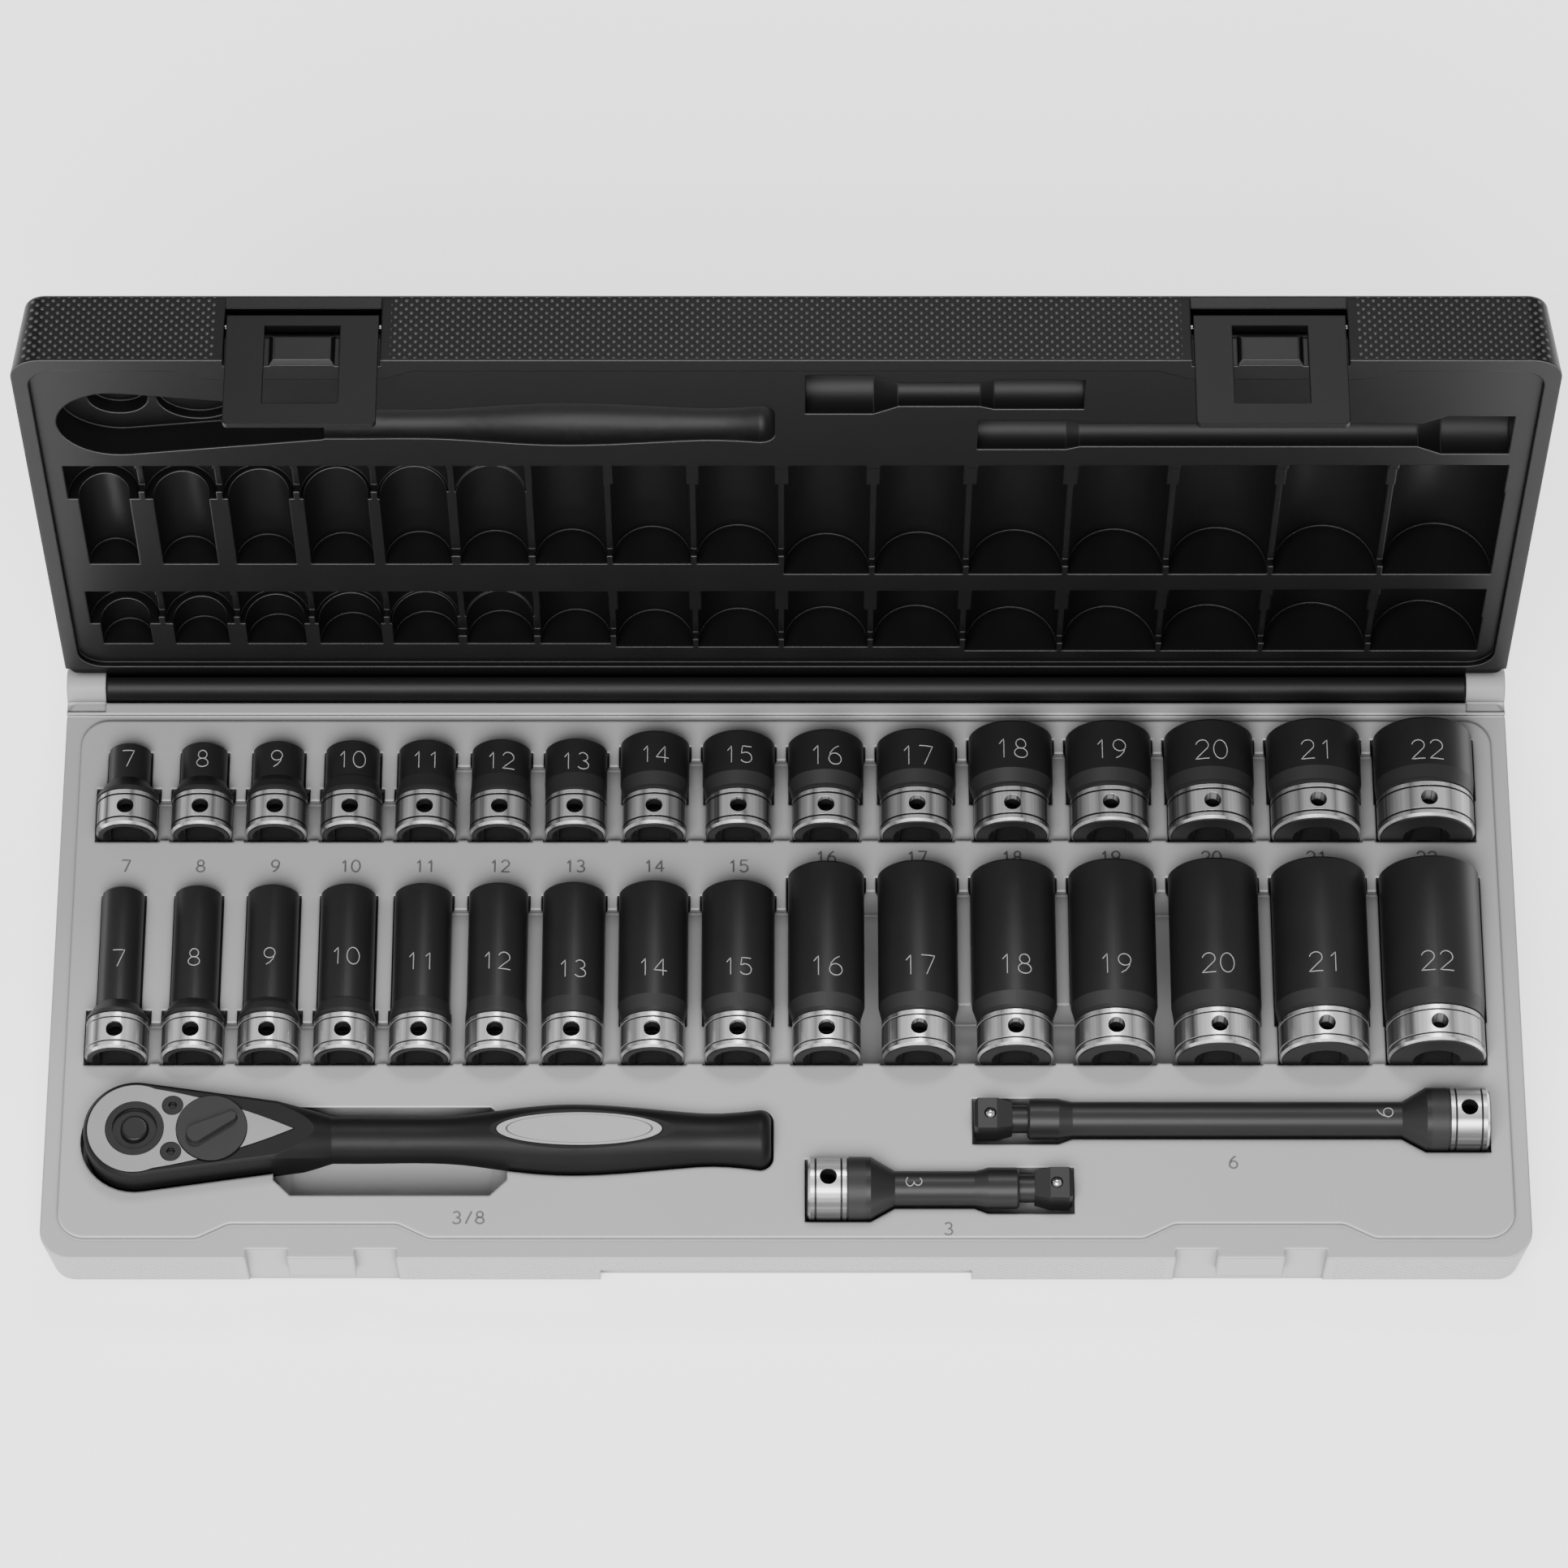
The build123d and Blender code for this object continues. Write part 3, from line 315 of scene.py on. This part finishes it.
latch_plastic = plain("latch_black", 0.004, 0.006, 0.38, edge=0.5, shine=0.15)
pin_steel = plain("pin_steel", 0.45, 0.55, 0.3, metallic=1.0)
ratchet_paint = plain("ratchet_black", 0.006, 0.009, 0.42, edge=0.8, grain_depth=0.012, shine=0.2)
selector_paint = plain("selector_black", 0.018, 0.024, 0.42, grain_depth=0.012, shine=0.3)
drive_steel = plain("drive_steel", 0.012, 0.018, 0.3, metallic=0.3, shine=0.3)
plate_silver = plain("plate_silver", 0.25, 0.30, 0.45, metallic=0.5, grain_depth=0.015)
ball_steel = plain("ball_steel", 0.75, 0.85, 0.12, metallic=1.0, edge=0.1, grain_depth=0.001)
print("plain finishes are mixed")

# %% The oval in the handle
LINE_PLACE = 0.88
LINE_HALF = 0.012


def bordered(name, low, high, line_tone):
    """Satin metal oval with a fine dark line set in from its edge."""
    finish = Finish(name)
    x, y, _, point = finish.place()
    first, last = (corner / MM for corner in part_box("ratchet_inlay"))
    middle, reach = (first + last) / 2, (last - first) / 2
    ring = ((x - middle.x) / reach.x).length_with((y - middle.y) / reach.y)
    line = abs(ring - LINE_PLACE) < LINE_HALF
    grain = finish.noise(point, 3000.0, detail=1.0)
    satin = finish.mix(finish.noise(point, 60.0), grey(low), grey(high))
    finish.set(base_color=finish.mix(line, satin, grey(line_tone)),
               roughness=0.5 + grain * 0.06,
               metallic=0.4,
               normal=finish.bump(grain, 0.02, finish.soft_edges(0.3)))
    return finish.material


inlay_silver = bordered("inlay_silver", 0.33, 0.39, 0.08)
print("the oval's line runs at", LINE_PLACE, "of its reach")

# %% Painting the plain parts
for name, material in {
    "latch_left": latch_plastic,
    "latch_right": latch_plastic,
    "hinge_pins": pin_steel,
    "latch_pins": pin_steel,
    "ratchet_body": ratchet_paint,
    "ratchet_plate": plate_silver,
    "ratchet_screws": drive_steel,
    "ratchet_selector": selector_paint,
    "ratchet_drive": drive_steel,
    "ratchet_pawl": drive_steel,
    "ratchet_button": drive_steel,
    "ratchet_ball": ball_steel,
    "ratchet_inlay": inlay_silver,
    "extension_long_ball": ball_steel,
    "extension_short_ball": ball_steel,
}.items():
    paint(name, material)
print("plain parts painted")

# %% [markdown]
# ## Black tools with a bright driven end
#
# Every socket and extension is blackened steel.
# Round its driven end, two thin rings and a band are ground bright, with dark grooves between.
# The finish measures how far a point lies from the tool's end and from its axis,
# so that the bore and the end face stay dark.
# The bright part is brushed round its axis and carries a painted reflection: pale on top, painted shade
# towards its sides, and two dark painted streaks.
# Each tool's painted streaks are turned a little, as if the tools had been dropped in by hand.

# %% Tool finish
CHAMFER = 1.0
RING = 1.2
GROOVE = 0.6
BAND = 6.9
SOCKET_AXIS_Z = 25.2
EXTENSION_AXIS_Z = 24.7
GROOVES = []
ring_edge = CHAMFER
for ring_width in (RING, BAND, RING):
    ring_edge += ring_width
    GROOVES.append(ring_edge)
    ring_edge += GROOVE
BRIGHT_END = GROOVES[-1]
SHOULDER_END = ring_edge + 5.0
SKIN = 0.9
FACE_EDGE = 0.35
# painted reflection on the bright end: streak places and sharpness, and how much painted shade the
# streaks and sides get
PAINTED_STREAKS = ((0.36, 7), (-0.46, 6))
CHROME_TONE = 1.2
PAINTED_STREAK_SHADE = 0.6
PAINTED_SIDE_SHADE = 0.85
BRUSH_SHADE = 0.45
BRUSH_LINES = 22.0
SOCKET_DRIVE_R = 9.1
EXTENSION_R = 9.2
print("the bright end is", BRIGHT_END, "mm long")

# %% Finish of one tool


def tool_finish(name, axis, end, direction, centre, height, radius, turn):
    """Black steel with a bright end that starts at end and runs along direction (+1 or -1)."""
    finish = Finish(name + "_finish")
    x, y, z, point = finish.place()
    facing = finish.facing()
    along, across = (x, y) if axis == "X" else (y, x)
    side = facing[1] if axis == "X" else facing[0]
    distance = (along - end) * direction
    outside = (across - centre).length_with(z - height) > radius - SKIN
    bright = (distance > FACE_EDGE) * (distance < BRIGHT_END) * outside
    for groove in GROOVES[:-1]:
        bright = bright * (abs(distance - groove - GROOVE / 2) > GROOVE / 2)
    # painted reflection on the bright metal: two dark painted streaks, painted shade towards the sides,
    # pale on top
    painted_streak = sum((1 - abs(side - spot - turn) * sharpness).clamped() for spot, sharpness in PAINTED_STREAKS)
    painted_side_darkening = (abs(side) * 2.6 - 1.25).clamped()
    brushed = finish.noise(finish.node("ShaderNodeCombineXYZ", [side, turn, 0.0]), BRUSH_LINES)
    shade = PAINTED_STREAK_SHADE * painted_streak + PAINTED_SIDE_SHADE * painted_side_darkening + BRUSH_SHADE * brushed
    tone = (CHROME_TONE - shade).clamped()
    chrome_with_painted_reflection = finish.mix(tone, grey(0.02), grey(0.85))
    cloud = finish.noise(point, 90.0)
    grain = finish.noise(point, 4000.0, detail=1.0)
    collar = (distance > BRIGHT_END) * (distance < SHOULDER_END) * outside
    black = finish.mix(cloud, grey(0.010), grey(0.014))
    black = finish.mix(collar, black, grey(0.019))
    finish.set(base_color=finish.mix(bright, black, chrome_with_painted_reflection),
               metallic=bright * 0.7,
               roughness=0.40 + grain * 0.08 + collar * 0.06 - bright * 0.14,
               specular_ior_level=0.35,
               normal=finish.bump(grain, 0.006, finish.soft_edges(0.12)))
    return finish.material


print("tool finish is ready")

# %% Painting the tools
TURN_REACH = 0.16
TURN_STEP = 2.4
DEEP_SHIFT = 1.3
sockets = {}
for name in nodes:
    if "socket" in name:
        low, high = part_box(name)
        sockets[name] = (low, high)
        x_centre = (low.x + high.x) / 2 / MM
        size = int(name[-2:])
        row_shift = DEEP_SHIFT if name.startswith("deep") else 0.0
        turn = TURN_REACH * math.sin(size * TURN_STEP + row_shift)
        paint(name, tool_finish(name, "Y", low.y / MM, 1, x_centre, SOCKET_AXIS_Z, SOCKET_DRIVE_R, turn))
long_low, long_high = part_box("extension_long")
short_low, short_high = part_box("extension_short")
long_y = (long_low.y + long_high.y) / 2
short_y = (short_low.y + short_high.y) / 2
paint("extension_long", tool_finish("extension_long", "X", long_high.x / MM, -1, long_y / MM,
                                    EXTENSION_AXIS_Z, EXTENSION_R, 0.1))
paint("extension_short", tool_finish("extension_short", "X", short_low.x / MM, 1, short_y / MM,
                                     EXTENSION_AXIS_Z, EXTENSION_R, -0.1))
print("sockets painted:", len(sockets))

# %% [markdown]
# ## Numbers
#
# Each socket carries its size in thin light figures, and the tray has the same sizes moulded in.
# Plain numbers could be cut from a font, but the real ones are single strokes, as a pen draws them.
# So a figure here is a few strokes, each a row of points.
# The strokes are laid on the surface below them, point by point, and drawn as thin round lines.

# %% The strokes of each figure


def sweep(x, y, across, up, start, stop, steps=12):
    """Points round part of an oval, from one angle to another."""
    turns = [math.radians(start + (stop - start) * step / steps) for step in range(steps + 1)]
    return [(x + across * math.cos(turn), y + up * math.sin(turn)) for turn in turns]


SIX = [[(0.17, 1.0), (-0.05, 0.85), (-0.22, 0.62)] + sweep(0, 0.3, 0.3, 0.3, 145, 505, 18)]
STROKES = {
    "0": [sweep(0, 0.5, 0.33, 0.5, 90, 450, 18)],
    "1": [[(-0.16, 0.76), (0.06, 1.0), (0.06, 0.0)]],
    "2": [sweep(0, 0.71, 0.3, 0.29, 165, -35) + [(-0.31, 0.0), (0.33, 0.0)]],
    "3": [sweep(-0.02, 0.75, 0.26, 0.25, 150, -90) + sweep(-0.02, 0.25, 0.31, 0.25, 90, -150)],
    "4": [[(0.14, 0.0), (0.14, 1.0), (-0.34, 0.3), (0.34, 0.3)]],
    "5": [[(0.27, 1.0), (-0.22, 1.0), (-0.27, 0.56)] + sweep(-0.02, 0.32, 0.32, 0.32, 125, -150)],
    "6": SIX,
    "7": [[(-0.32, 1.0), (0.32, 1.0), (-0.07, 0.0)]],
    "8": [sweep(0, 0.75, 0.24, 0.25, 90, 450, 16), sweep(0, 0.26, 0.31, 0.26, 90, 450, 16)],
    "9": [[(-x, 1 - y) for x, y in SIX[0]]],
    "/": [[(-0.2, 0.0), (0.24, 1.0)]],
}
ADVANCE = 0.88
STEP_LENGTH = 0.9
print("figures to draw with:", "".join(sorted(STROKES)))

# %% Drawing a number
ABOVE_ALL = 0.06


def alone(obj):
    """Makes one object the only selected and active one."""
    bpy.ops.object.select_all(action="DESELECT")
    obj.select_set(True)
    bpy.context.view_layer.objects.active = obj


def finely(points, height):
    """The same stroke in millimetres, with points close enough together to follow a round tool."""
    fine = [points[0]]
    for (x0, y0), (x1, y1) in zip(points, points[1:]):
        count = max(1, math.ceil(math.hypot(x1 - x0, y1 - y0) * height / STEP_LENGTH))
        fine += [(x0 + (x1 - x0) * i / count, y0 + (y1 - y0) * i / count) for i in range(1, count + 1)]
    return fine


def number(name, text, height, place, turn, target, line, material, body):
    """Figures centred on place (in metres), drawn on the CAD node below them in round lines."""
    bpy.ops.object.select_all(action="DESELECT")
    bpy.ops.object.add(type="CURVE", location=(0, 0, 0))
    obj = bpy.context.object
    obj.name = name
    obj.data.dimensions = "3D"
    obj.data.bevel_depth = line * MM
    obj.data.bevel_resolution = 1
    obj.data.use_fill_caps = True
    turned = math.radians(turn)
    for index, letter in enumerate(text):
        shift = (index - (len(text) - 1) / 2) * ADVANCE
        for stroke in STROKES[letter]:
            fine = finely([(x + shift, y - 0.5) for x, y in stroke], height)
            spline = obj.data.splines.new("POLY")
            spline.points.add(len(fine) - 1)
            for point, (x, y) in zip(spline.points, fine):
                across = (x * math.cos(turned) - y * math.sin(turned)) * height * MM + place[0]
                along = (x * math.sin(turned) + y * math.cos(turned)) * height * MM + place[1]
                _, spot, *_ = nodes[target].ray_cast((across, along, ABOVE_ALL), (0, 0, -1))
                point.co = (*spot, 1.0)
    alone(obj)
    bpy.ops.object.convert(target="MESH")
    bpy.ops.object.mode_set(mode="EDIT")
    bpy.ops.mesh.select_all(action="SELECT")
    bpy.ops.mesh.normals_make_consistent(inside=False)
    bpy.ops.object.mode_set(mode="OBJECT")
    obj.data.name = name
    obj.data.materials.append(material)
    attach(obj, body)


figure_paint = plain("figure_light", 0.30, 0.38, 0.55, edge=0.02, grain_depth=0.004)
print("figures are painted with", figure_paint.name)

# %% [markdown]
# A socket's figures stand near the open end on the short ones and above the shoulder on the deep ones.
# They are a little over 5 mm high, and a little more on the wide sockets.
# On the narrow deep sockets they stand further from the driven end.

# %% Numbers on the sockets
PAINT_LINE = 0.16
FIRST_WIDE = 16
SMALL_FIGURE = 5.4
LARGE_FIGURE = 6.2
SMALLEST = 7
NOSE_GAP = 5.4
NOSE_GAP_GROWTH = 0.37
FACE_GAPS = ((13, 25.6), (11, 28.4), (SMALLEST, 30.3))


def painted_number(tool, text, height, place, turn=0):
    """A tool's number in light paint."""
    number(tool + "_number", text, height, place, turn, tool, PAINT_LINE, figure_paint, tool)


for name, (low, high) in sockets.items():
    size = int(name[-2:])
    figure_height = SMALL_FIGURE if size < FIRST_WIDE else LARGE_FIGURE
    from_face = next(gap for first_size, gap in FACE_GAPS if size >= first_size)
    from_nose = NOSE_GAP + (size - SMALLEST) * NOSE_GAP_GROWTH
    y_place = low.y + from_face * MM if name.startswith("deep") else high.y - from_nose * MM
    painted_number(name, str(size), figure_height, ((low.x + high.x) / 2, y_place))
print("numbers on sockets:", len(sockets))

# %% Numbers on the extensions
BAR_FIGURE = 4.6
LONG_FIGURE_PLACE = 30.5
SHORT_FIGURE_PLACE = 31.0
long_place = (long_high.x - LONG_FIGURE_PLACE * MM, long_y)
short_place = (short_low.x + SHORT_FIGURE_PLACE * MM, short_y)
painted_number("extension_long", "6", BAR_FIGURE, long_place, turn=90)
painted_number("extension_short", "3", BAR_FIGURE, short_place, turn=-90)
print("numbers on extensions: 2")

# %% [markdown]
# The tray's own sizes are low round ridges, a darker grey so that they can be read.

# %% Numbers in the tray
RIDGE_LINE = 0.26
ridge_plastic = plain("ridge_grey", 0.10, 0.13, 0.5, edge=0.05)
LABEL_HEIGHT = 3.8
SMALL_LABEL_Y = 34.0
LARGE_LABEL_Y = 37.0
TOOL_LABELS = [("3/8", -92.0, -79.5), ("3", 47.0, -83.0), ("6", 130.0, -62.0)]
labels = []
for name, (low, high) in sockets.items():
    if name.startswith("socket"):
        size = int(name[-2:])
        label_y = LARGE_LABEL_Y if size >= FIRST_WIDE else SMALL_LABEL_Y
        labels.append((str(size), (low.x + high.x) / 2 / MM, label_y))
for index, (text, x_label, y_label) in enumerate(labels + TOOL_LABELS):
    number(f"tray_number_{index + 1:02d}", text, LABEL_HEIGHT, (x_label * MM, y_label * MM), 0,
           "case_base", RIDGE_LINE, ridge_plastic, "base")
print("numbers in the tray:", len(labels + TOOL_LABELS))

# %% [markdown]
# ## Floor, light and camera
#
# The set stands on a plain pale floor under one broad soft light from above the user's head,
# with a weaker one from above and behind, and an even glow all round.

# %% Floor and light
FLOOR_SIZE = 6.0
FLOOR_DROP = 0.0005
GLOW = 0.42


def stage_floor():
    """A pale floor that runs past every edge of the view."""
    bpy.ops.mesh.primitive_plane_add(size=FLOOR_SIZE, location=(0, 0, -FLOOR_DROP))
    floor = bpy.context.object
    floor.name = "floor"
    finish = Finish("floor_white")
    *_, point = finish.place()
    cloud = finish.noise(point, 3.0)
    pale = finish.mix(cloud, grey(0.88), grey(0.90))
    finish.set(base_color=pale, emission_color=pale, emission_strength=1.6, roughness=0.7)
    floor.data.materials.append(finish.material)


def soft_light(name, place, aim, width, height, power):
    """A rectangular soft light at place that shines towards aim."""
    bpy.ops.object.light_add(type="AREA", location=place)
    light = bpy.context.object
    light.name = name
    light.data.shape = "RECTANGLE"
    light.data.size = width
    light.data.size_y = height
    light.data.energy = power
    light.rotation_euler = (Vector(aim) - Vector(place)).to_track_quat("-Z", "Y").to_euler()


stage_floor()
set_middle = (0, 0, 0.03)
soft_light("front_light", (-0.2, -1.1, 1.35), set_middle, width=1.3, height=0.8, power=44.0)
soft_light("back_light", (0.1, 0.95, 1.7), set_middle, width=0.6, height=0.4, power=14.0)
world = bpy.data.worlds.new("studio")
bpy.context.scene.world = world
world.use_nodes = True
world.node_tree.nodes["Background"].inputs["Color"].default_value = grey(1.0)
world.node_tree.nodes["Background"].inputs["Strength"].default_value = GLOW
print("floor and two lights are set")

# %% [markdown]
# The camera looks down steeply from in front, from far away with a long lens,
# so that both rows and the whole lid are seen with little perspective.

# %% Camera
VIEW_DOWN = math.radians(62.99)
REFERENCE = Vector((-0.6, 95.0, 22.15)) * MM
VIEW_DEPTH = 2077.3 * MM
VIEW_HEIGHT = -29.47 * MM
FOCAL_LENGTH = 158.4
ahead = Vector((0, math.cos(VIEW_DOWN), -math.sin(VIEW_DOWN)))
upward = Vector((0, math.sin(VIEW_DOWN), math.cos(VIEW_DOWN)))
bpy.ops.object.camera_add(location=REFERENCE - VIEW_DEPTH * ahead + VIEW_HEIGHT * upward)
camera = bpy.context.object
camera.rotation_euler = (math.pi / 2 - VIEW_DOWN, 0, 0)
camera.data.lens = FOCAL_LENGTH
camera.data.sensor_width = 36.0
camera.data.clip_end = 20.0
bpy.context.scene.camera = camera
print("camera looks down at", round(math.degrees(VIEW_DOWN), 1), "degrees")
